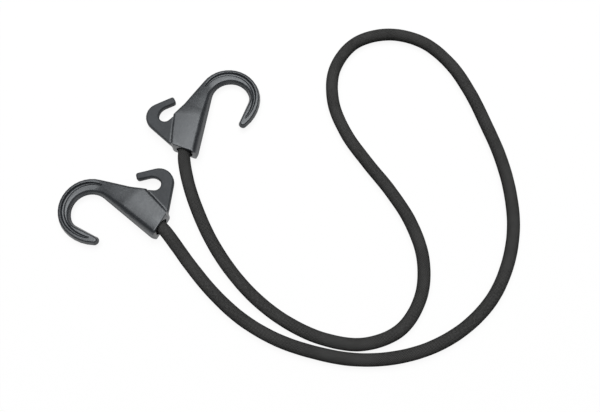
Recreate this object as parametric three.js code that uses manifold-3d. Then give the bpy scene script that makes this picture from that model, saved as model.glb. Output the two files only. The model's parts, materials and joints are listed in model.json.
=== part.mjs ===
// Elastic cargo rack strap: a fabric-covered rubber cord with a moulded double hook at each end.
// Millimetres, +Z up. The strap lies on Z = 0, with the origin under the middle of the two hooks.
//
// Each hook is described in its own frame: +Y runs up the socket's axis from the mouth, where the
// cord leaves, +X points to the side of the big hook, and Z = 0 is the parting plane of the mould.

import * as THREE from 'three';
import { mergeVertices } from 'three/addons/utils/BufferGeometryUtils.js';
import Module from 'manifold-3d';

// Fits shared by all the pieces.
const seatGap = 0.3;
const overrun = 5;

// The cord: strands of rubber in a braided sheath.
const cord = {
  diameter: 8,
  sheathWall: 0.75,
  stepLength: 12.5,
  reach: 4,
  sag: 0.4,
};

// The crimped end of the cord, held behind the throat of the socket.
const crimp = {
  ferruleLength: 6.5,
  ferruleWall: 0.9,
  squeeze: 0.3,
  grooveDepth: 0.3,
  grooveWidth: 0.9,
  grooveShares: [1 / 3, 2 / 3],
  edgeRound: 0.25,
  cordBeyond: 2.2,
  coreBeyond: 0.4,
};

// The socket's bore: a flared mouth, a throat round the cord and a chamber for the ferrule.
const bore = {
  flareRadius: 5.3,
  flareDepth: 3.5,
  throatLength: 6,
  jointDepth: 2.3,
  chamberClearance: 0.2,
  chamberEnd: 0.5,
};

// Plan of the big hook, on the parting line.
const plan = {
  mouth: new THREE.Vector2(-9.1, 0),
  shoulder: new THREE.Vector2(-9.8, 24.1),
  gapeWall: new THREE.Vector2(8.85, -3),
  mouthAngle: 16.7,
  mouthEdgeRound: 1,
  slotCornerRound: 3.4,
  gapeCornerRound: 2.2,
  flareY: 32.6,
  neckAngle: 31,
  gapeCentre: new THREE.Vector2(26.2, 38.05),
  gapeRadius: 12.45,
  gapeEndAngle: 22,
  cornerRadius: 7,
  cornerEndAngle: -18,
  innerTipLength: 14.8,
  crownCentre: new THREE.Vector2(24.9, 39.75),
  crownRadius: 20.7,
  outerTipRadius: 27.7,
  outerTipAngle: -43.5,
};

// Cross-sections of the big hook: thickness, slope of the low roof on each face, and for each
// side the draft of its wall and the round of its edge. A round takes up no more than a share of
// the face that its wall leaves.
const sections = {
  mouth: { thickness: 12.8, roofAngle: 1.7, draft: [0.2, 1], round: [1.5, 3.8] },
  shoulder: { thickness: 11.4, roofAngle: 1.7, draft: [0.4, 1], round: [1.8, 3.6] },
  neck: { thickness: 7.4, roofAngle: 0.6, draft: [0.6, 1], round: [1.4, 2.6] },
  crown: { thickness: 6.4, roofAngle: 0, draft: [0.6, 1], round: [1.1, 1.6] },
  tip: { thickness: 5.6, roofAngle: 0, draft: [0.8, 0.6], round: [1, 1] },
};
const roundRoomShare = 0.9;
const roofShare = 0.47;
const flareShare = 0.3;
const flareEase = 1.4;

// The round-bottomed channel moulded into both faces of the big hook, a little outside the arm's
// middle line. It runs out at both ends.
const channel = {
  outwardShift: 0.225,
  width: 2.9,
  depth: 1.7,
  startAngle: 158,
  endAngle: 37,
  taperPower: 0.4,
};

// How many flat steps stand in for each curved or tapering run.
const steps = {
  edge: 3,
  socket: 4,
  flare: 3,
  neckWall: 3,
  neckTurn: 3,
  crown: 13,
  tipCorner: 3,
  tipLeg: 4,
  tipBend: 2,
  cap: 16,
  mouthRound: 4,
  channel: 20,
  channelTip: 6,
  channelRound: 6,
  heel: 9,
  throat: 5,
  slot: 10,
  barbRound: 3,
  plateEdge: 3,
  bore: 28,
  cordRound: 10,
};

// The small hook: a thinner plate that curls back to the shoulder of the socket.
const cleat = {
  thickness: 4.7,
  edgeRound: 1.2,
  heelCentre: new THREE.Vector2(-17.55, 23.05),
  heelRadius: 9.75,
  footAngle: 51.5,
  barbAngle: 30,
  slotCentre: new THREE.Vector2(-15.2, 23.7),
  slotRadius: 3.9,
  throatRadius: 7.1,
  slotExitAngle: 48,
  barbLength: 7.8,
  barbRound: 1.4,
  rootX: -7,
};

// Where each hook lies: its mouth, and its heading from +Y, counted anticlockwise.
const placeA = { x: 15.26, y: 1.27, heading: -3.3, faceDown: false };
const placeB = { x: 3.06, y: -48.79, heading: 43.7, faceDown: true };

// The free cord's middle line from hook B to hook A: x, y, and its lift where it is off the surface.
const cordPoints = [
  [14.3, -62.7, 0.2],
  [20.8, -71.5, 0.1],
  [36.3, -89.9],
  [54.2, -106],
  [74.9, -118.1],
  [97.7, -125.8],
  [121.3, -130],
  [145.2, -129],
  [168.3, -122.6],
  [189, -110.6],
  [206, -93.3],
  [217, -71.8],
  [222.4, -48.4],
  [222.1, -24.5],
  [217.7, -0.9],
  [210.1, 22],
  [201.4, 44.4],
  [189.6, 65.2],
  [172.1, 81.6],
  [148.9, 87.7],
  [126.1, 80.8],
  [112.3, 61.3],
  [111.1, 37.4],
  [119.3, 14.8],
  [132.4, -5.3],
  [146.6, -24.7],
  [158.5, -45.5],
  [165, -68.6],
  [162.5, -92.5],
  [149.4, -112.4],
  [127.2, -121],
  [103.7, -118],
  [81.9, -108.2],
  [62.8, -93.9],
  [46.7, -76.1],
  [33.6, -56],
  [23.5, -34.2, 0.1],
  [17.6, -16.6, 0.2],
];

const cordRadius = cord.diameter / 2;
const crimpedRadius = cordRadius - crimp.squeeze;
const ferruleRadius = crimpedRadius + seatGap + crimp.ferruleWall;
const ferruleStart = bore.throatLength + seatGap;
const ferruleEnd = ferruleStart + crimp.ferruleLength;
const cordEnd = ferruleEnd + crimp.cordBeyond;

const radians = THREE.MathUtils.degToRad;
const lerp = THREE.MathUtils.lerp;

const wasm = await Module();
wasm.setup();

// Boolean cuts need one closed surface with its vertices shared.
function toSolid(geometry) {
  const bare = geometry.clone();
  bare.deleteAttribute('normal');
  bare.deleteAttribute('uv');
  const merged = mergeVertices(bare);
  return new wasm.Manifold(new wasm.Mesh({
    numProp: 3,
    vertProperties: new Float32Array(merged.attributes.position.array),
    triVerts: new Uint32Array(merged.index.array),
  }));
}

function toGeometry(solid) {
  const mesh = solid.getMesh();
  const geometry = new THREE.BufferGeometry();
  geometry.setAttribute('position', new THREE.BufferAttribute(mesh.vertProperties, 3));
  geometry.setIndex(new THREE.BufferAttribute(mesh.triVerts, 1));
  geometry.computeVertexNormals();
  return geometry;
}

// Points of an arc, angles in degrees, both ends included.
function arc(centre, radius, from, to, count) {
  const points = [];
  for (let i = 0; i <= count; i += 1) {
    const angle = radians(lerp(from, to, i / count));
    points.push(new THREE.Vector2(
      centre.x + radius * Math.cos(angle),
      centre.y + radius * Math.sin(angle),
    ));
  }
  return points;
}

function direction(angle) {
  return arc(new THREE.Vector2(), 1, angle, angle, 1)[0];
}

function line(from, to, count) {
  const points = [];
  for (let i = 0; i <= count; i += 1) {
    points.push(from.clone().lerp(to, i / count));
  }
  return points;
}

// Joins runs of points end to end, leaving out each run's first point where it repeats the last.
function join(...runs) {
  return runs.flatMap((run, i) => (i === 0 ? run : run.slice(1)));
}

// A closed solid through rings that all have the same number of points.
function loft(rings) {
  const count = rings[0].length;
  const positions = rings.flat().flatMap((p) => [p.x, p.y, p.z]);
  const index = [];
  for (let r = 0; r + 1 < rings.length; r += 1) {
    for (let i = 0; i < count; i += 1) {
      const a = r * count + i;
      const b = r * count + ((i + 1) % count);
      index.push(a, b, a + count, b, b + count, a + count);
    }
  }
  const last = (rings.length - 1) * count;
  for (let i = 1; i + 1 < count; i += 1) {
    index.push(0, i + 1, i);
    index.push(last, last + i, last + i + 1);
  }
  const geometry = new THREE.BufferGeometry();
  geometry.setAttribute('position', new THREE.Float32BufferAttribute(positions, 3));
  geometry.setIndex(index);
  return geometry;
}

function mixSections(a, b, share) {
  return {
    thickness: lerp(a.thickness, b.thickness, share),
    roofAngle: lerp(a.roofAngle, b.roofAngle, share),
    draft: [lerp(a.draft[0], b.draft[0], share), lerp(a.draft[1], b.draft[1], share)],
    round: [lerp(a.round[0], b.round[0], share), lerp(a.round[1], b.round[1], share)],
  };
}

// An edge's round, held back where the face is too narrow for it.
function fitRound(round, room) {
  return Math.min(round, room * roundRoomShare);
}

// One edge of a section as [distance in from the parting line, height] pairs, from the parting
// line up a drafted wall and round the edge on to the face.
function edgeProfile(faceHeight, draft, round) {
  const points = [];
  for (let i = 0; i <= steps.edge; i += 1) {
    const angle = (Math.PI / 2) * (i / steps.edge);
    points.push([
      draft + round * (1 - Math.cos(angle)),
      faceHeight - round * (1 - Math.sin(angle)),
    ]);
  }
  return points;
}

// A ring of the big hook between a point on its outer side and one on its gape side.
function sectionRing(outer, inner, section, ridgeAt) {
  const width = outer.distanceTo(inner);
  const across = inner.clone().sub(outer).divideScalar(width);
  const fall = Math.tan(radians(section.roofAngle));
  const ridgeHeight = section.thickness / 2;
  const [outerDraft, innerDraft] = section.draft;
  const outerRound = fitRound(section.round[0], ridgeAt - outerDraft);
  const innerRound = fitRound(section.round[1], width - ridgeAt - innerDraft);
  const outerFace = ridgeAt - outerDraft - outerRound;
  const innerFace = width - ridgeAt - innerDraft - innerRound;
  const left = edgeProfile(ridgeHeight - fall * outerFace, outerDraft, outerRound);
  const right = edgeProfile(ridgeHeight - fall * innerFace, innerDraft, innerRound);
  const upper = [
    ...left,
    [ridgeAt, ridgeHeight],
    ...right.map(([x, z]) => [width - x, z]).reverse(),
  ];
  const lower = upper.map(([x, z]) => [x, -z]).reverse();
  return [[0, 0], ...upper, [width, 0], ...lower].map(([x, z]) => new THREE.Vector3(
    outer.x + across.x * x,
    outer.y + across.y * x,
    z,
  ));
}

// Past the crown the hook's outer side turns about a point further in, on a larger radius.
function outerTipCentre() {
  const shift = plan.crownRadius - plan.outerTipRadius;
  return new THREE.Vector2(plan.crownCentre.x + shift, plan.crownCentre.y);
}

// The gape wall runs from the mouth to touch the gape's circle, and the neck's outer edge runs
// back from where it touches the crown's circle.
function planLines() {
  const toCentre = plan.gapeCentre.clone().sub(plan.gapeWall);
  const reach = toCentre.length();
  const bearing = toCentre.angle();
  const wallAngle = bearing + Math.asin(plan.gapeRadius / reach);
  const wallTouchAngle = 90 + THREE.MathUtils.radToDeg(wallAngle);
  const wallTouch = plan.gapeCentre.clone()
    .addScaledVector(direction(wallTouchAngle), plan.gapeRadius);
  const wallX = (y) => wallTouch.x - (wallTouch.y - y) / Math.tan(wallAngle);
  const neckTouchAngle = 180 - plan.neckAngle;
  const neckTouch = plan.crownCentre.clone()
    .addScaledVector(direction(neckTouchAngle), plan.crownRadius);
  const neckX = (y) => neckTouch.x - (neckTouch.y - y) * Math.tan(radians(plan.neckAngle));
  return { wallTouch, wallTouchAngle, wallX, neckTouch, neckTouchAngle, neckX };
}

// The socket, neck and big hook as one loft, from below the mouth round to the rounded tip.
function bigHook() {
  const { wallTouch, wallTouchAngle, wallX, neckTouch, neckTouchAngle, neckX } = planLines();
  const { mouth, shoulder } = plan;
  const startShare = (plan.gapeWall.y - overrun) / shoulder.y;
  const start = mouth.clone().lerp(shoulder, startShare);
  const flare = new THREE.Vector2(neckX(plan.flareY), plan.flareY);
  const wallPoint = (y) => new THREE.Vector2(wallX(y), y);
  const flareWall = wallPoint((shoulder.y + plan.flareY) / 2);
  const { gapeCentre, gapeRadius, gapeEndAngle, cornerEndAngle, crownCentre, crownRadius } = plan;
  const gape = arc(gapeCentre, gapeRadius, neckTouchAngle, gapeEndAngle, steps.crown);
  const cornerCentre = gape.at(-1).clone().lerp(gapeCentre, plan.cornerRadius / gapeRadius);
  const corner = arc(
    cornerCentre,
    plan.cornerRadius,
    gapeEndAngle,
    cornerEndAngle,
    steps.tipCorner,
  );
  const innerTip = corner.at(-1).clone()
    .addScaledVector(direction(cornerEndAngle - 90), plan.innerTipLength);
  const tipBend = steps.tipCorner + steps.tipLeg - steps.tipBend;
  const flareSection = mixSections(sections.shoulder, sections.neck, flareShare);
  const legs = [
    {
      outer: line(start, shoulder, steps.socket),
      inner: line(wallPoint(start.y), wallPoint(shoulder.y), steps.socket),
      from: mixSections(sections.mouth, sections.shoulder, startShare),
      to: sections.shoulder,
    },
    {
      outer: line(shoulder, flare, steps.flare),
      inner: line(wallPoint(shoulder.y), flareWall, steps.flare),
      from: sections.shoulder,
      to: flareSection,
      ease: flareEase,
    },
    {
      outer: line(flare, neckTouch, steps.neckWall + steps.neckTurn),
      inner: join(
        line(flareWall, wallTouch, steps.neckWall),
        arc(gapeCentre, gapeRadius, wallTouchAngle, neckTouchAngle, steps.neckTurn),
      ),
      from: flareSection,
      to: sections.crown,
    },
    {
      outer: arc(crownCentre, crownRadius, neckTouchAngle, gapeEndAngle, steps.crown),
      inner: gape,
      from: sections.crown,
      to: sections.crown,
    },
    {
      outer: join(
        arc(crownCentre, crownRadius, gapeEndAngle, 0, steps.tipBend),
        arc(outerTipCentre(), plan.outerTipRadius, 0, plan.outerTipAngle, tipBend),
      ),
      inner: join(corner, line(corner.at(-1), innerTip, steps.tipLeg)),
      from: sections.crown,
      to: sections.tip,
    },
  ];
  const rings = [];
  legs.forEach((leg, legIndex) => {
    const count = leg.outer.length - 1;
    for (let i = legIndex === 0 ? 0 : 1; i <= count; i += 1) {
      const section = mixSections(leg.from, leg.to, (i / count) ** (leg.ease ?? 1));
      const width = leg.outer[i].distanceTo(leg.inner[i]);
      const ridgeAt = legIndex === 0 ? -leg.outer[i].x : width * roofShare;
      rings.push(sectionRing(leg.outer[i], leg.inner[i], section, ridgeAt));
    }
  });
  return toSolid(loft(rings)).add(tipCap(legs.at(-1)));
}

function tipCap(leg) {
  const outer = leg.outer.at(-1);
  const inner = leg.inner.at(-1);
  const radius = outer.distanceTo(inner) / 2;
  const { thickness, draft, round } = sections.tip;
  const edge = edgeProfile(thickness / 2, draft[0], fitRound(round[0], radius - draft[0]));
  const upper = edge.map(([x, z]) => new THREE.Vector2(radius - x, z));
  const lower = upper.map((p) => new THREE.Vector2(p.x, -p.y)).reverse();
  const profile = [
    new THREE.Vector2(0, -thickness / 2),
    ...lower,
    new THREE.Vector2(radius, 0),
    ...upper,
    new THREE.Vector2(0, thickness / 2),
  ];
  const cap = new THREE.LatheGeometry(profile, steps.cap);
  cap.rotateX(Math.PI / 2);
  const middle = outer.clone().lerp(inner, 0.5);
  cap.translate(middle.x, middle.y, 0);
  return toSolid(cap);
}

// The small hook's plate, from its root inside the socket round the heel to the barb and slot.
function smallHook() {
  const { barbAngle, barbRound } = cleat;
  const heelFrom = 180 + cleat.footAngle;
  const heelTo = 90 + barbAngle;
  const heel = arc(cleat.heelCentre, cleat.heelRadius, heelFrom, heelTo, steps.heel);
  const footSlope = 1 / Math.tan(radians(cleat.footAngle));
  const root = new THREE.Vector2(cleat.rootX, heel[0].y - (cleat.rootX - heel[0].x) * footSlope);
  const throatCentre = cleat.slotCentre.clone();
  throatCentre.x += cleat.throatRadius - cleat.slotRadius;
  const throat = arc(throatCentre, cleat.throatRadius, heelTo, 180, steps.throat);
  const along = direction(barbAngle);
  const outward = direction(heelTo);
  const barbWidth = heel.at(-1).clone().sub(throat[0]).dot(outward);
  const reach = cleat.barbLength - barbRound;
  const corner = (height) => throat[0].clone().addScaledVector(along, reach)
    .addScaledVector(outward, height);
  const outerCorner = corner(barbWidth - barbRound);
  const innerCorner = corner(barbRound);
  const slotEnd = 270 + cleat.slotExitAngle;
  const slot = arc(cleat.slotCentre, cleat.slotRadius, 180, slotEnd, steps.slot);
  const slotSlope = Math.tan(radians(cleat.slotExitAngle));
  const exit = slot.at(-1);
  const slotRoot = new THREE.Vector2(cleat.rootX, exit.y + (cleat.rootX - exit.x) * slotSlope);
  const outline = [
    root,
    ...heel,
    ...arc(outerCorner, barbRound, heelTo, barbAngle, steps.barbRound),
    ...arc(innerCorner, barbRound, barbAngle, barbAngle - 90, steps.barbRound),
    ...join(throat, slot),
    slotRoot,
  ];
  const plate = new THREE.ExtrudeGeometry(new THREE.Shape(outline), {
    depth: cleat.thickness - 2 * cleat.edgeRound,
    bevelThickness: cleat.edgeRound,
    bevelSize: cleat.edgeRound,
    bevelOffset: -cleat.edgeRound,
    bevelSegments: steps.plateEdge,
  });
  plate.translate(0, 0, cleat.edgeRound - cleat.thickness / 2);
  return toSolid(plate);
}

// Cutters for the channels in both faces, as lofts that follow the middle of the arm.
function channels() {
  const inset = (plan.crownRadius - plan.gapeRadius) / 2 - channel.outwardShift;
  const radius = plan.crownRadius - inset;
  const tipRadius = plan.outerTipRadius - inset;
  const tipCentre = outerTipCentre();
  const middle = join(
    arc(plan.crownCentre, radius, channel.startAngle, 0, steps.channel),
    arc(tipCentre, tipRadius, 0, -channel.endAngle, steps.channelTip),
  );
  const rings = middle.map((point, i) => {
    const share = (i + 1) / (middle.length + 1);
    const taper = Math.sin(Math.PI * share) ** channel.taperPower;
    const centre = i > steps.channel ? tipCentre : plan.crownCentre;
    const outward = point.clone().sub(centre).normalize();
    const halfWidth = (channel.width / 2) * taper;
    const round = arc(new THREE.Vector2(), 1, 180, 360, steps.channelRound)
      .map((p) => new THREE.Vector2(halfWidth * p.x, channel.depth * taper * p.y));
    const section = [
      new THREE.Vector2(halfWidth, overrun),
      new THREE.Vector2(-halfWidth, overrun),
      ...round,
    ];
    return section.map((p) => new THREE.Vector3(
      point.x + outward.x * p.x,
      point.y + outward.y * p.x,
      sections.crown.thickness / 2 + p.y,
    ));
  });
  const upper = toSolid(loft(rings));
  return upper.add(upper.mirror([0, 0, 1]));
}

// A solid turned about the socket's axis from [radius, distance up the axis] pairs.
function turned(pairs) {
  const points = pairs.map(([radius, y]) => new THREE.Vector2(radius, y));
  return new THREE.LatheGeometry(points, steps.bore);
}

function boreCut() {
  const throatRadius = cordRadius + seatGap;
  const chamberRadius = ferruleRadius + bore.chamberClearance;
  const back = cordEnd + crimp.coreBeyond + bore.chamberEnd;
  const flareStart = bore.flareDepth - (bore.flareRadius - throatRadius);
  return toSolid(turned([
    [0, plan.gapeWall.y - overrun],
    [bore.flareRadius, plan.gapeWall.y - overrun],
    [bore.flareRadius, flareStart],
    [throatRadius, bore.flareDepth],
    [throatRadius, bore.throatLength],
    [chamberRadius, bore.throatLength],
    [chamberRadius, back],
    [0, back],
  ]));
}

// Where the line of a wall in plan meets the slanted line of the mouth.
function meetMouth(from, to) {
  const slope = -Math.tan(radians(plan.mouthAngle));
  const run = to.clone().sub(from);
  return from.clone().addScaledVector(run, (slope * from.x - from.y) / (run.y - slope * run.x));
}

function roundCorner(from, corner, to, size) {
  const start = corner.clone().add(from.clone().sub(corner).setLength(size));
  const end = corner.clone().add(to.clone().sub(corner).setLength(size));
  return new THREE.QuadraticBezierCurve(start, corner, end).getPoints(steps.mouthRound);
}

// Rounds the edges that the slanted mouth makes with both faces.
function mouthEdgeCut() {
  const across = plan.gapeWall.x + overrun;
  const size = plan.mouthEdgeRound;
  const centre = new THREE.Vector2(-size, sections.mouth.thickness / 2 - size);
  const outline = [
    new THREE.Vector2(overrun, centre.y),
    new THREE.Vector2(overrun, centre.y + overrun),
    new THREE.Vector2(centre.x, centre.y + overrun),
    ...arc(centre, size, 90, 0, steps.edge),
  ];
  const edge = new THREE.ExtrudeGeometry(new THREE.Shape(outline), {
    depth: 2 * across,
    bevelEnabled: false,
  });
  edge.translate(0, 0, -across);
  const outward = direction(270 - plan.mouthAngle);
  const x = new THREE.Vector3(outward.x, outward.y, 0);
  const z = new THREE.Vector3(0, 0, 1);
  const lie = new THREE.Matrix4().makeBasis(x, z, x.clone().cross(z));
  const upper = toSolid(edge.applyMatrix4(lie));
  return upper.add(upper.mirror([0, 0, 1]));
}

// The mouth is cut off aslant, square to the faces, and its corners in plan are rounded.
function mouthCut() {
  const { wallTouch } = planLines();
  const slotCorner = meetMouth(plan.mouth, plan.shoulder);
  const gapeCorner = meetMouth(plan.gapeWall, wallTouch);
  const edge = [
    ...roundCorner(plan.shoulder, slotCorner, gapeCorner, plan.slotCornerRound),
    ...roundCorner(slotCorner, gapeCorner, wallTouch, plan.gapeCornerRound),
  ];
  const left = slotCorner.x - overrun;
  const right = gapeCorner.x + overrun;
  const bottom = plan.gapeWall.y - 2 * overrun;
  const outline = [
    new THREE.Vector2(left, bottom),
    new THREE.Vector2(right, bottom),
    new THREE.Vector2(right, edge.at(-1).y),
    ...edge.reverse(),
    new THREE.Vector2(left, edge.at(-1).y),
  ];
  const depth = 2 * sections.mouth.thickness;
  const cut = new THREE.ExtrudeGeometry(new THREE.Shape(outline), { depth, bevelEnabled: false });
  return toSolid(cut.translate(0, 0, -depth / 2));
}

function doubleHook() {
  return toGeometry(bigHook().subtract(mouthCut()).subtract(mouthEdgeCut())
    .add(smallHook())
    .subtract(boreCut())
    .subtract(channels()));
}

// A steel ferrule with eased edges and grooves pressed in by the crimping tool, each half as
// wide at its bottom as at its rim.
function crimpFerrule() {
  const inner = ferruleRadius - crimp.ferruleWall;
  const pressed = ferruleRadius - crimp.grooveDepth;
  const eased = ferruleRadius - crimp.edgeRound;
  const rim = crimp.grooveWidth / 2;
  const bottom = rim / 2;
  const grooves = crimp.grooveShares.flatMap((share) => {
    const middle = lerp(ferruleStart, ferruleEnd, share);
    return [
      [ferruleRadius, middle - rim],
      [pressed, middle - bottom],
      [pressed, middle + bottom],
      [ferruleRadius, middle + rim],
    ];
  });
  return turned([
    [inner, ferruleStart],
    [eased, ferruleStart],
    [ferruleRadius, ferruleStart + crimp.edgeRound],
    ...grooves,
    [ferruleRadius, ferruleEnd - crimp.edgeRound],
    [eased, ferruleEnd],
    [inner, ferruleEnd],
    [inner, ferruleStart],
  ]);
}

// The cord's end narrows where the ferrule squeezes it: one side of that waist, going up.
function waist(radius) {
  const squeezed = radius - crimp.squeeze;
  return [
    [radius, ferruleStart - seatGap - crimp.squeeze],
    [squeezed, ferruleStart - seatGap],
    [squeezed, ferruleEnd + seatGap],
    [radius, ferruleEnd + seatGap + crimp.squeeze],
  ];
}

function sheathEnd() {
  const inner = cordRadius - cord.sheathWall;
  return turned([
    [cordRadius, bore.jointDepth],
    ...waist(cordRadius),
    [cordRadius, cordEnd],
    [inner, cordEnd],
    ...waist(inner).reverse(),
    [inner, bore.jointDepth],
    [cordRadius, bore.jointDepth],
  ]);
}

function rubberCoreEnd() {
  const radius = cordRadius - cord.sheathWall - seatGap;
  return turned([
    [0, bore.jointDepth],
    [radius, bore.jointDepth],
    ...waist(radius),
    [radius, cordEnd + crimp.coreBeyond],
    [0, cordEnd + crimp.coreBeyond],
  ]);
}

const materials = {
  hook: new THREE.MeshStandardMaterial({ color: 0x4a4e53, roughness: 0.42, metalness: 0 }),
  sheath: new THREE.MeshStandardMaterial({ color: 0x262625, roughness: 0.9, metalness: 0 }),
  rubber: new THREE.MeshStandardMaterial({ color: 0x8d8678, roughness: 0.8, metalness: 0 }),
  steel: new THREE.MeshStandardMaterial({ color: 0xa9adb1, roughness: 0.35, metalness: 1 }),
};

function named(name, geometry, material) {
  const mesh = new THREE.Mesh(geometry, material);
  mesh.name = name;
  return mesh;
}

// Lays a hook down on the flat of one face beside its roof's ridge, on the gape side.
function hookPlacement({ x, y, heading, faceDown }) {
  const rise = sections.mouth.thickness - sections.shoulder.thickness;
  const taper = rise / 2 / plan.shoulder.y;
  const roof = Math.tan(radians(sections.mouth.roofAngle));
  const side = faceDown ? -1 : 1;
  const restNormal = new THREE.Vector3(side * roof, taper, -1);
  const height = sections.mouth.thickness / 2 / restNormal.length();
  const settle = new THREE.Quaternion()
    .setFromUnitVectors(restNormal.normalize(), new THREE.Vector3(0, 0, -1));
  const flip = new THREE.Quaternion()
    .setFromAxisAngle(new THREE.Vector3(0, 1, 0), faceDown ? Math.PI : 0);
  const turn = new THREE.Quaternion()
    .setFromAxisAngle(new THREE.Vector3(0, 0, 1), radians(heading));
  const group = new THREE.Group();
  group.quaternion.copy(turn.multiply(settle).multiply(flip));
  group.position.set(x, y, height);
  group.updateMatrixWorld();
  return group;
}

function strapEnd(letter, place, hook) {
  const group = hookPlacement(place);
  group.add(named(`double_hook_${letter}`, hook, materials.hook));
  group.add(named(`crimp_ferrule_${letter}`, crimpFerrule(), materials.steel));
  group.add(named(`sheath_end_${letter}`, sheathEnd(), materials.sheath));
  group.add(named(`rubber_core_end_${letter}`, rubberCoreEnd(), materials.rubber));
  return group;
}

// The free cord meets its end face to face in each socket, sags out of the mouth and lies down.
function freeCord(endA, endB) {
  const inside = (end) => new THREE.Vector3(0, bore.jointDepth - seatGap, 0)
    .applyMatrix4(end.matrixWorld);
  const outside = (end) => new THREE.Vector3(0, -cord.reach, 0)
    .applyMatrix4(end.matrixWorld)
    .sub(new THREE.Vector3(0, 0, cord.sag));
  const route = new THREE.CatmullRomCurve3([
    inside(endB),
    outside(endB),
    ...cordPoints.map(([x, y, lift]) => new THREE.Vector3(x, y, cordRadius + (lift ?? 0))),
    outside(endA),
    inside(endA),
  ]);
  const sides = steps.cordRound;
  const runs = Math.ceil(route.getLength() / cord.stepLength);
  const section = new THREE.Shape(
    arc(new THREE.Vector2(), cordRadius, 0, 360 - 360 / sides, sides - 1),
  );
  return new THREE.ExtrudeGeometry(section, { steps: runs, extrudePath: route });
}

const strap = new THREE.Group();
const hook = doubleHook();
const endA = strapEnd('a', placeA, hook);
const endB = strapEnd('b', placeB, hook.clone());
strap.add(endA, endB);
strap.add(named('elastic_cord', freeCord(endA, endB), materials.sheath));

export default strap;
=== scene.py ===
"""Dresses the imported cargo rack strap: the free cord's braided sheath, the moulded hooks, and a
plain pale studio. Metres, +Z up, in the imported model's own frame."""

import json
import math

import bpy
import numpy as np
from mathutils import Matrix, Vector


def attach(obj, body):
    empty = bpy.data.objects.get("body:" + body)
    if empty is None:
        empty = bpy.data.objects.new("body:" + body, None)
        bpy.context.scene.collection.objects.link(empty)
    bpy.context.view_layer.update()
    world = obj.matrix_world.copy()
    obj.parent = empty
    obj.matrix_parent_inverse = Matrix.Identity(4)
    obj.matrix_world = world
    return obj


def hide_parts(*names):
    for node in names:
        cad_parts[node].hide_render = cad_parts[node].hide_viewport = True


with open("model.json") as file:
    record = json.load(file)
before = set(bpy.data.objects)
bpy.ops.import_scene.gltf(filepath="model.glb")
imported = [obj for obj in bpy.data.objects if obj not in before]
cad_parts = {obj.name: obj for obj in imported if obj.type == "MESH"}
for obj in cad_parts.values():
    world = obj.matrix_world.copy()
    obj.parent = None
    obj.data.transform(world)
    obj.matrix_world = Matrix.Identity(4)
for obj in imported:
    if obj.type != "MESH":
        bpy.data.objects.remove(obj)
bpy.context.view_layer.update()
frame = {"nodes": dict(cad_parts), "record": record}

# The free cord. Its line starts INSIDE_MOUTH up one socket and leaves it straight, a little lower
# at OUTSIDE_MOUTH.
CORD_DIAMETER = 0.008
INSIDE_MOUTH = 0.002
OUTSIDE_MOUTH = 0.004
SAG_OUTSIDE = 0.0004
RING_SPACING = 0.0009
CORD_SIDES = 28
CURVE_STEPS = 12

# How the sheath swells along the cord: share of the radius, radians per metre, phase.
SWELLS = [(0.006, 190, 0), (0.004, 471, 1)]
SWELL_LIMIT = 1.004

# The middle line of the cord from hook B to hook A: x, y, and its lift off the surface.
CORD_POINTS = [
    (0.0143, -0.0627, 0.0002),
    (0.0208, -0.0715, 0.0001),
    (0.0363, -0.0899, 0),
    (0.0542, -0.1060, 0),
    (0.0749, -0.1181, 0),
    (0.0977, -0.1258, 0),
    (0.1213, -0.1300, 0),
    (0.1452, -0.1290, 0),
    (0.1683, -0.1226, 0),
    (0.1890, -0.1106, 0),
    (0.2060, -0.0933, 0),
    (0.2170, -0.0718, 0),
    (0.2224, -0.0484, 0),
    (0.2221, -0.0245, 0),
    (0.2177, -0.0009, 0),
    (0.2101, 0.0220, 0),
    (0.2014, 0.0444, 0),
    (0.1896, 0.0652, 0),
    (0.1721, 0.0816, 0),
    (0.1489, 0.0877, 0),
    (0.1261, 0.0808, 0),
    (0.1123, 0.0613, 0),
    (0.1111, 0.0374, 0),
    (0.1193, 0.0148, 0),
    (0.1324, -0.0053, 0),
    (0.1466, -0.0247, 0),
    (0.1585, -0.0455, 0),
    (0.1650, -0.0686, 0),
    (0.1625, -0.0925, 0),
    (0.1494, -0.1124, 0),
    (0.1272, -0.1210, 0),
    (0.1037, -0.1180, 0),
    (0.0819, -0.1082, 0),
    (0.0628, -0.0939, 0),
    (0.0467, -0.0761, 0),
    (0.0336, -0.0560, 0),
    (0.0235, -0.0342, 0.0001),
    (0.0176, -0.0166, 0.0002),
]

# The braid: strands round the cord each way, the length in which the pattern moves on by one
# strand, and yarns in a strand.
STRANDS_ROUND = 22
BRAID_PITCH = 0.00105
YARNS_IN_STRAND = 4
# Painted shade and light: the braid's colour runs from near black in the grooves between strands
# to lighter on their crests; then random patches and lint.
BRAID_GROOVE_PAINTED_SHADE = (0.002, 0.002, 0.002, 1)
BRAID_CREST_PAINTED_LIGHT = (0.086, 0.086, 0.085, 1)
BRAID_PATCH = (0.070, 0.070, 0.069, 1)
LINT = (0.45, 0.44, 0.42, 1)

# The hooks' plastic. Across a hook, its small hook's plate meets the socket's wall at SLOT_X.
NYLON_DARK = (0.006, 0.007, 0.009, 1)
NYLON_LIGHT = (0.013, 0.015, 0.018, 1)
NYLON_MOTTLE = (0.030, 0.033, 0.039, 1)
NYLON_RUBBED = (0.09, 0.095, 0.10, 1)
NYLON_SEAM = (0.07, 0.075, 0.08, 1)
NYLON_SHEEN = (0.93, 0.97, 1.0, 1)
SLOT_X = -0.0095
EDGE_SOFTNESS = 0.0003

LATEX_SEAM = (0.12, 0.10, 0.08, 1)
LATEX = (0.30, 0.26, 0.21, 1)
LATEX_CHALK = (0.45, 0.42, 0.37, 1)
STEEL_STAIN = (0.42, 0.43, 0.44, 1)
STEEL = (0.58, 0.60, 0.61, 1)

# Smooth shading of the CAD pieces: edges steeper than SHARP_EDGE stay sharp.
SHARP_EDGE = math.radians(38)
WELD_DISTANCE = 1e-6
FLATS_WEIGHT = 80

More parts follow.
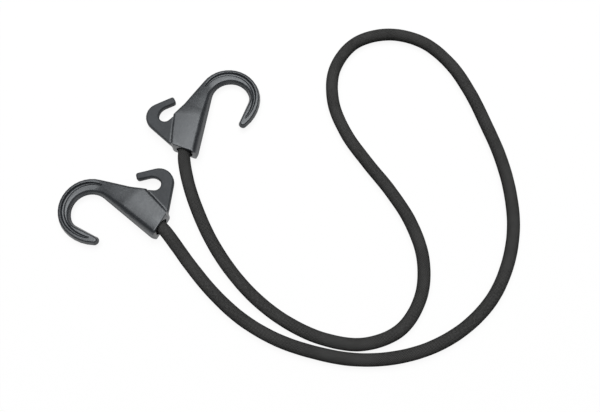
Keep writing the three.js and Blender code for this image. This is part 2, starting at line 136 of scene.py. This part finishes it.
# The camera, as fitted to the photo's two hooks.
CAMERA_PLACE = (0.08918, -0.18903, 0.4807)
CAMERA_AIM = (0.08918, -0.03303, 0)
CAMERA_LENS_MM = 47.76
CAMERA_SENSOR_MM = 36
CAMERA_NEAR = 0.01

# The floor. The camera sees it nearly white; it throws little light back on the strap.
FLOOR_RADIUS = 14
FLOOR_SIDES = 96
FLOOR_DROP = 0.00005
FLOOR_WHITE_SHARE = 0.90
FLOOR_BOUNCE = (0.10, 0.10, 0.10, 1)
WHITE = (1, 1, 1, 1)

# The light from all round: on matt surfaces, as mirrored from the horizon and from higher up, and
# added straight overhead.
ROUND_LIGHT = 0.16
MIRRORED_HORIZON = 0.9
MIRRORED_SKY = 0.22
OVERHEAD_LIGHT = 0.6

# A Mix node's sockets go by number, because their names come back for each type of data.
MIX_SHARE = 0
MIX_NUMBERS = (2, 3)
MIX_COLOURS = (6, 7)
MIX_COLOUR_OUT = 2


class Nodes:
    """A material's or world's node tree, built from calls."""

    def __init__(self, owner):
        owner.use_nodes = True
        self.tree = owner.node_tree
        self.tree.nodes.clear()

    def add(self, kind, values=None, **settings):
        node = self.tree.nodes.new(kind)
        for name, value in settings.items():
            setattr(node, name, value)
        for key, value in (values or {}).items():
            self.put(node.inputs[key], value)
        return node

    def put(self, socket, value):
        if isinstance(value, bpy.types.Node):
            value = value.outputs[0]
        if isinstance(value, bpy.types.NodeSocket):
            self.tree.links.new(value, socket)
        else:
            socket.default_value = value

    def math(self, operation, *values):
        return self.add("ShaderNodeMath", dict(enumerate(values)), operation=operation)

    def weigh(self, *terms):
        """The sum of the terms, each a value and its weight."""
        total, *rest = [self.math("MULTIPLY", value, weight) for value, weight in terms]
        for part in rest:
            total = self.math("ADD", total, part)
        return total

    def mix(self, share, first, second):
        """A colour: the first where the share is 0, the second where it is 1."""
        colours = dict(zip(MIX_COLOURS, (first, second)))
        node = self.add("ShaderNodeMix", {MIX_SHARE: share}, data_type="RGBA")
        for key, value in colours.items():
            self.put(node.inputs[key], value)
        return node.outputs[MIX_COLOUR_OUT]

    def blend(self, share, first, second):
        """A number: the first where the share is 0, the second where it is 1."""
        numbers = dict(zip(MIX_NUMBERS, (first, second)))
        return self.add("ShaderNodeMix", {MIX_SHARE: share, **numbers}, data_type="FLOAT")

    def step(self, value, low, high, to_low=0.0, to_high=1.0):
        """Eases from to_low, where the value is low, to to_high, where it is high."""
        return self.add(
            "ShaderNodeMapRange",
            {
                "Value": value,
                "From Min": low,
                "From Max": high,
                "To Min": to_low,
                "To Max": to_high,
            },
            interpolation_type="SMOOTHSTEP",
        )

    def noise(self, place, scale, detail=3.0, rough=0.5):
        return self.add(
            "ShaderNodeTexNoise",
            {"Vector": place, "Scale": scale, "Detail": detail, "Roughness": rough},
        )

    def bump(self, height, depth, under=None):
        values = {"Height": height, "Strength": 1.0, "Distance": depth}
        if under is not None:
            values["Normal"] = under
        return self.add("ShaderNodeBump", values)

    def object_place(self):
        return self.add("ShaderNodeTexCoord").outputs["Object"]


def new_material(name):
    material = bpy.data.materials.new(name)
    return material, Nodes(material)


def finish_surface(nodes, values):
    surface = nodes.add("ShaderNodeBsdfPrincipled", values)
    nodes.add("ShaderNodeOutputMaterial", {"Surface": surface})


def catmull_rom(points):
    """A centripetal curve through the points."""
    points = np.asarray(points, float)
    ends = [2 * points[0] - points[1], *points, 2 * points[-1] - points[-2]]
    line = []
    for p0, p1, p2, p3 in zip(ends, ends[1:], ends[2:], ends[3:]):
        t0 = 0.0
        t1 = t0 + math.sqrt(np.linalg.norm(p1 - p0))
        t2 = t1 + math.sqrt(np.linalg.norm(p2 - p1))
        t3 = t2 + math.sqrt(np.linalg.norm(p3 - p2))
        for t in np.linspace(t1, t2, CURVE_STEPS, endpoint=False):
            a1 = p0 * (t1 - t) / (t1 - t0) + p1 * (t - t0) / (t1 - t0)
            a2 = p1 * (t2 - t) / (t2 - t1) + p2 * (t - t1) / (t2 - t1)
            a3 = p2 * (t3 - t) / (t3 - t2) + p3 * (t - t2) / (t3 - t2)
            b1 = a1 * (t2 - t) / (t2 - t0) + a2 * (t - t0) / (t2 - t0)
            b2 = a2 * (t3 - t) / (t3 - t1) + a3 * (t - t1) / (t3 - t1)
            line.append(b1 * (t2 - t) / (t2 - t1) + b2 * (t - t1) / (t2 - t1))
    line.append(points[-1])
    return np.array(line)


def even_line(line, spacing):
    """The same line with its points evenly spaced, and each point's distance along it."""
    along = np.concatenate([[0], np.cumsum(np.linalg.norm(np.diff(line, axis=0), axis=1))])
    places = np.linspace(0, along[-1], int(round(along[-1] / spacing)) + 1)
    return np.column_stack([np.interp(places, along, line[:, i]) for i in range(3)]), places


def swivel(name):
    """A hook's swivel: the middle of its socket's mouth, and the direction up the socket."""
    joint = next(j for j in frame["record"]["behaviour"]["joints"] if j["name"] == name)
    return np.array(joint["pos_m"]), np.array(joint["axis"])


def cord_route():
    """The cord's middle line, from inside hook B's mouth to inside hook A's."""
    start, start_up = swivel("hook_b_swivel")
    end, end_up = swivel("hook_a_swivel")
    radius = CORD_DIAMETER / 2
    sag = np.array((0, 0, SAG_OUTSIDE))
    return catmull_rom([
        start + start_up * INSIDE_MOUTH,
        start - start_up * OUTSIDE_MOUTH - sag,
        *[(x, y, radius + lift) for x, y, lift in CORD_POINTS],
        end - end_up * OUTSIDE_MOUTH - sag,
        end + end_up * INSIDE_MOUTH,
    ])


def cord_mesh(line, places):
    """A tube along the line. Its UV runs once round in U, and in metres along in V."""
    radius = CORD_DIAMETER / 2
    count = len(line)
    tangents = np.gradient(line, axis=0)
    tangents /= np.linalg.norm(tangents, axis=1)[:, None]
    side = np.cross(tangents[0], (0, 0, 1))
    vertices = []
    angles = np.linspace(0, 2 * math.pi, CORD_SIDES, endpoint=False)
    for point, tangent, place in zip(line, tangents, places):
        side = side - tangent * side.dot(tangent)
        side /= np.linalg.norm(side)
        other = np.cross(tangent, side)
        swell = 1 + sum(size * math.sin(place * rate + phase) for size, rate, phase in SWELLS)
        edge = radius * min(swell, SWELL_LIMIT)
        vertices.extend(
            point + edge * (math.cos(a) * side + math.sin(a) * other) for a in angles
        )
    faces, uvs = [], []
    for ring in range(count - 1):
        for i in range(CORD_SIDES):
            j = (i + 1) % CORD_SIDES
            low, high = ring * CORD_SIDES, (ring + 1) * CORD_SIDES
            faces.append((low + i, low + j, high + j, high + i))
            u0, u1 = i / CORD_SIDES, (i + 1) / CORD_SIDES
            v0, v1 = places[ring], places[ring + 1]
            uvs.extend([(u0, v0), (u1, v0), (u1, v1), (u0, v1)])
    faces.append(tuple(reversed(range(CORD_SIDES))))
    faces.append(tuple(range((count - 1) * CORD_SIDES, count * CORD_SIDES)))
    uvs.extend([(0, 0)] * 2 * CORD_SIDES)
    mesh = bpy.data.meshes.new("braided_cord")
    mesh.from_pydata([tuple(v) for v in vertices], [], faces)
    layer = mesh.uv_layers.new(name="UVMap")
    layer.data.foreach_set("uv", np.array(uvs).ravel())
    mesh.polygons.foreach_set("use_smooth", [True] * len(mesh.polygons))
    mesh.update()
    return mesh


def braid_material():
    """Braided polyester: strands wound both ways round the cord, each over and under in turn. Its
    colour has painted shade in the grooves between strands and painted light on their crests.
    """
    material, n = new_material("braided_sheath")
    uv = n.add("ShaderNodeSeparateXYZ", {0: n.add("ShaderNodeUVMap", uv_map="UVMap")})
    place = n.object_place()

    # Each way's strands are numbered by the whole part of right or left, and the rest of it runs
    # across the strand.
    waver = n.math("MULTIPLY", n.math("SUBTRACT", n.noise(place, scale=260.0), 0.5), 0.35)
    around = n.math("ADD", n.math("MULTIPLY", uv.outputs[0], STRANDS_ROUND), waver)
    along = n.math("MULTIPLY", uv.outputs[1], 1 / BRAID_PITCH)
    right = n.math("ADD", around, along)
    left = n.math("SUBTRACT", around, along)
    right_ridge, left_ridge = [
        n.math("SINE", n.math("MULTIPLY", n.math("FRACT", way), math.pi))
        for way in (right, left)
    ]
    right_over = n.math(
        "PINGPONG", n.math("ADD", n.math("FLOOR", right), n.math("FLOOR", left)), 1.0
    )
    top_ridge = n.blend(right_over, left_ridge, right_ridge)
    top_strand = n.blend(right_over, left, right)
    dome = n.math("MULTIPLY", right_ridge, left_ridge)
    yarn = n.math("SINE", n.math("MULTIPLY", top_strand, 2 * math.pi * YARNS_IN_STRAND))
    height = n.weigh((top_ridge, 0.55), (dome, 0.45), (yarn, 0.06))

    fuzz = n.noise(place, scale=5200.0, detail=4.0, rough=0.7)
    patch = n.noise(place, scale=75.0, detail=2.0)
    lint = n.noise(place, scale=900.0, detail=2.0)
    # Painted shade and light: the colour darkens down into the grooves between strands and
    # lightens on their crests, with random fuzz mixed in.
    painted_relief_shade_and_fuzz = n.weigh((height, 0.75), (fuzz, 0.35))
    shade = n.mix(n.step(painted_relief_shade_and_fuzz, 0.30, 0.85), BRAID_GROOVE_PAINTED_SHADE, BRAID_CREST_PAINTED_LIGHT)
    shade = n.mix(n.step(patch, 0.35, 0.7, 0.0, 0.35), shade, BRAID_PATCH)
    shade = n.mix(n.step(lint, 0.79, 0.81, 0.0, 0.55), shade, LINT)
    coarse = n.bump(height, depth=0.00012)
    finish_surface(n, {
        "Base Color": shade,
        "Roughness": n.step(fuzz, 0.3, 0.7, 0.74, 0.92),
        "Normal": n.bump(fuzz, depth=0.00003, under=coarse),
        "Specular IOR Level": 0.0,
    })
    return material


def hook_frame(name, face_down):
    """Turns the model's frame into the hook's own: Y up its socket, Z off its upper face."""
    origin, up = swivel(name)
    up = Vector(up)
    face = Vector((0, 0, -1 if face_down else 1))
    face = (face - up * face.dot(up)).normalized()
    side = up.cross(face)
    turn = Matrix((side, up, face))
    return turn, -(turn @ Vector(origin))


def hook_material(name, face_down):
    """Satin moulded nylon: a fine spark-eroded texture, flow marks, a parting line and wear."""
    turn, shift = hook_frame(name, face_down)
    material, n = new_material(f"moulded_plastic_{name}")
    own = n.add(
        "ShaderNodeMapping",
        {"Vector": n.object_place(), "Location": shift, "Rotation": turn.to_euler()},
        vector_type="POINT",
    ).outputs[0]
    across, _, off_face = n.add("ShaderNodeSeparateXYZ", {0: own}).outputs
    grain = n.noise(own, scale=4200.0, rough=0.6)
    mottle = n.noise(own, scale=900.0, rough=0.55)
    cloud = n.noise(own, scale=95.0)
    stretched = n.add("ShaderNodeMapping", {"Vector": own, "Scale": (1400.0, 130.0, 900.0)})
    flow = n.noise(stretched, scale=1.0, rough=0.6)
    rub = n.math("MULTIPLY", n.step(flow, 0.60, 0.74), n.step(cloud, 0.45, 0.7))
    seam = n.step(n.math("ABSOLUTE", off_face), 0.00008, 0.00020, 1.0, 0.0)

    shade = n.mix(n.step(cloud, 0.3, 0.7), NYLON_DARK, NYLON_LIGHT)
    shade = n.mix(n.step(mottle, 0.35, 0.75, 0.0, 0.4), shade, NYLON_MOTTLE)
    shade = n.mix(n.math("MULTIPLY", rub, 0.30), shade, NYLON_RUBBED)
    shade = n.mix(n.math("MULTIPLY", seam, 0.4), shade, NYLON_SEAM)

    # The face dulls towards the slot, and the small hook's plate is duller still.
    rough = n.math("ADD", n.step(mottle, 0.3, 0.7, 0.29, 0.38), n.math("MULTIPLY", rub, 0.08))
    slot_side = n.step(across, SLOT_X, 0.002, 0.04, 0.0)
    small_hook = n.step(across, SLOT_X - 0.001, SLOT_X, 0.29, 0.0)
    rough = n.math("ADD", rough, n.math("ADD", slot_side, small_hook))

    soft = n.add("ShaderNodeBevel", {"Radius": EDGE_SOFTNESS}, samples=6)
    wave = n.bump(cloud, depth=0.00012, under=soft)
    line = n.bump(seam, depth=0.00010, under=wave)
    finish_surface(n, {
        "Base Color": shade,
        "Roughness": rough,
        "Normal": n.bump(grain, depth=0.000007, under=line),
        "Specular IOR Level": 0.80,
        "Specular Tint": NYLON_SHEEN,
    })
    return material


def rubber_material():
    """A bundle of latex threads, cut across, with chalk on them."""
    material, n = new_material("latex_core")
    place = n.object_place()
    thread = n.add(
        "ShaderNodeTexVoronoi", {"Vector": place, "Scale": 1500.0}, feature="DISTANCE_TO_EDGE"
    )
    chalk = n.noise(place, scale=2200.0, rough=0.6)
    shade = n.mix(n.step(thread, 0.0, 0.12), LATEX_SEAM, LATEX)
    shade = n.mix(n.step(chalk, 0.5, 0.75, 0.0, 0.4), shade, LATEX_CHALK)
    finish_surface(n, {
        "Base Color": shade,
        "Roughness": 0.8,
        "Normal": n.bump(n.step(thread, 0.0, 0.15), depth=0.00015),
    })
    return material


def steel_material():
    """Plated steel, a little stained and scratched."""
    material, n = new_material("plated_steel")
    place = n.object_place()
    stain = n.noise(place, scale=700.0, rough=0.6)
    scratch = n.noise(place, scale=6000.0, detail=2.0)
    finish_surface(n, {
        "Base Color": n.mix(n.step(stain, 0.35, 0.7), STEEL_STAIN, STEEL),
        "Roughness": n.step(stain, 0.3, 0.7, 0.28, 0.45),
        "Normal": n.bump(scratch, depth=0.00003),
        "Metallic": 1.0,
    })
    return material


def smooth_by_angle(angle):
    """A modifier's node group: smooth faces, with sharp edges left where faces meet steeply."""
    group = bpy.data.node_groups.new("smooth_by_angle", "GeometryNodeTree")
    for way in ("INPUT", "OUTPUT"):
        group.interface.new_socket("Geometry", in_out=way, socket_type="NodeSocketGeometry")
    nodes, links = group.nodes, group.links
    start, end = nodes.new("NodeGroupInput"), nodes.new("NodeGroupOutput")
    faces = nodes.new("GeometryNodeSetShadeSmooth")
    edges = nodes.new("GeometryNodeSetShadeSmooth")
    edges.domain = "EDGE"
    steep = nodes.new("GeometryNodeInputMeshEdgeAngle")
    low = nodes.new("FunctionNodeCompare")
    low.operation = "LESS_THAN"
    low.inputs[1].default_value = angle
    links.new(steep.outputs["Unsigned Angle"], low.inputs[0])
    links.new(start.outputs["Geometry"], faces.inputs["Geometry"])
    links.new(faces.outputs["Geometry"], edges.inputs["Geometry"])
    links.new(low.outputs["Result"], edges.inputs["Shade Smooth"])
    links.new(edges.outputs["Geometry"], end.inputs["Geometry"])
    return group


def dress(node, material, smoothing):
    """Gives a CAD node its material, and smooth shading with its flats kept flat."""
    piece = frame["nodes"][node]
    piece.data.materials.clear()
    piece.data.materials.append(material)
    weld = piece.modifiers.new("weld", "WELD")
    weld.merge_threshold = WELD_DISTANCE
    smooth = piece.modifiers.new("smooth", "NODES")
    smooth.node_group = smoothing
    flats = piece.modifiers.new("flats", "WEIGHTED_NORMAL")
    flats.keep_sharp = True
    flats.weight = FLATS_WEIGHT


def add_to_scene(name, data):
    piece = bpy.data.objects.new(name, data)
    bpy.context.scene.collection.objects.link(piece)
    return piece


def point_at(piece, place, aim):
    """Puts a camera or lamp at a place, looking at the aim."""
    piece.location = place
    way = Vector(aim) - Vector(place)
    piece.rotation_euler = way.to_track_quat("-Z", "Y").to_euler()


def build_camera():
    camera = add_to_scene("camera", bpy.data.cameras.new("camera"))
    camera.data.lens = CAMERA_LENS_MM
    camera.data.sensor_width = CAMERA_SENSOR_MM
    camera.data.clip_start = CAMERA_NEAR
    point_at(camera, CAMERA_PLACE, CAMERA_AIM)
    bpy.context.scene.camera = camera


def build_floor():
    """A wide sheet of paper, white where the camera or a hook's reflection sees it."""
    bpy.ops.mesh.primitive_circle_add(
        vertices=FLOOR_SIDES, radius=FLOOR_RADIUS, fill_type="NGON"
    )
    floor = bpy.context.object
    floor.name = "studio_floor"
    floor.location.z = -FLOOR_DROP
    material, n = new_material("studio_floor")
    path = n.add("ShaderNodeLightPath").outputs
    camera = path["Is Camera Ray"]
    mirrored = n.math("MAXIMUM", path["Is Glossy Ray"], path["Is Transmission Ray"])
    paper = n.add("ShaderNodeBsdfDiffuse", {"Color": n.mix(camera, FLOOR_BOUNCE, WHITE)})
    white = n.add("ShaderNodeEmission", {"Strength": 1.0})
    share = n.math("ADD", n.math("MULTIPLY", camera, FLOOR_WHITE_SHARE), mirrored)
    surface = n.add("ShaderNodeMixShader", {0: share, 1: paper, 2: white})
    n.add("ShaderNodeOutputMaterial", {"Surface": surface})
    floor.data.materials.append(material)


def build_lamp(name, place, aim, size, strength):
    """A soft box. Its strength is its brightness, where 1 is white."""
    lamp = bpy.data.lights.new(name, "AREA")
    lamp.shape = "RECTANGLE"
    lamp.size, lamp.size_y = size
    lamp.energy = strength * math.pi * size[0] * size[1]
    point_at(add_to_scene(name, lamp), place, aim)


def build_world():
    """Light from all round, with a bright horizon and a bright patch overhead."""
    world = bpy.data.worlds.new("studio")
    n = Nodes(world)
    way = n.add("ShaderNodeTexCoord").outputs["Generated"]
    up = n.add("ShaderNodeSeparateXYZ", {0: way}).outputs[2]
    mirrored = n.add("ShaderNodeLightPath").outputs["Is Glossy Ray"]
    mirrored_light = n.step(up, 0.0, 0.25, MIRRORED_HORIZON, MIRRORED_SKY)
    low = n.blend(mirrored, ROUND_LIGHT, mirrored_light)
    high = n.step(up, 0.75, 1.0, 0.0, OVERHEAD_LIGHT)
    light = n.add(
        "ShaderNodeBackground",
        {"Color": WHITE, "Strength": n.math("ADD", low, high)},
    )
    n.add("ShaderNodeOutputWorld", {"Surface": light})
    bpy.context.scene.world = world


build_camera()

cord_line, cord_places = even_line(cord_route(), RING_SPACING)
cord = add_to_scene("braided_cord", cord_mesh(cord_line, cord_places))
cord.data.materials.append(braid_material())
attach(cord, "cord")
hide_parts("elastic_cord")

smoothing = smooth_by_angle(SHARP_EDGE)
for letter, face_down in (("a", False), ("b", True)):
    plastic = hook_material(f"hook_{letter}_swivel", face_down)
    dress(f"double_hook_{letter}", plastic, smoothing)
    dress(f"crimp_ferrule_{letter}", steel_material(), smoothing)
    dress(f"rubber_core_end_{letter}", rubber_material(), smoothing)
    dress(f"sheath_end_{letter}", braid_material(), smoothing)

build_floor()
build_lamp("overhead", place=(0.05, 0.32, 1.5), aim=(0.09, 0.0, 0), size=(1.3, 1.2), strength=4.3)
build_world()

view = bpy.context.scene.view_settings
view.view_transform = "Standard"
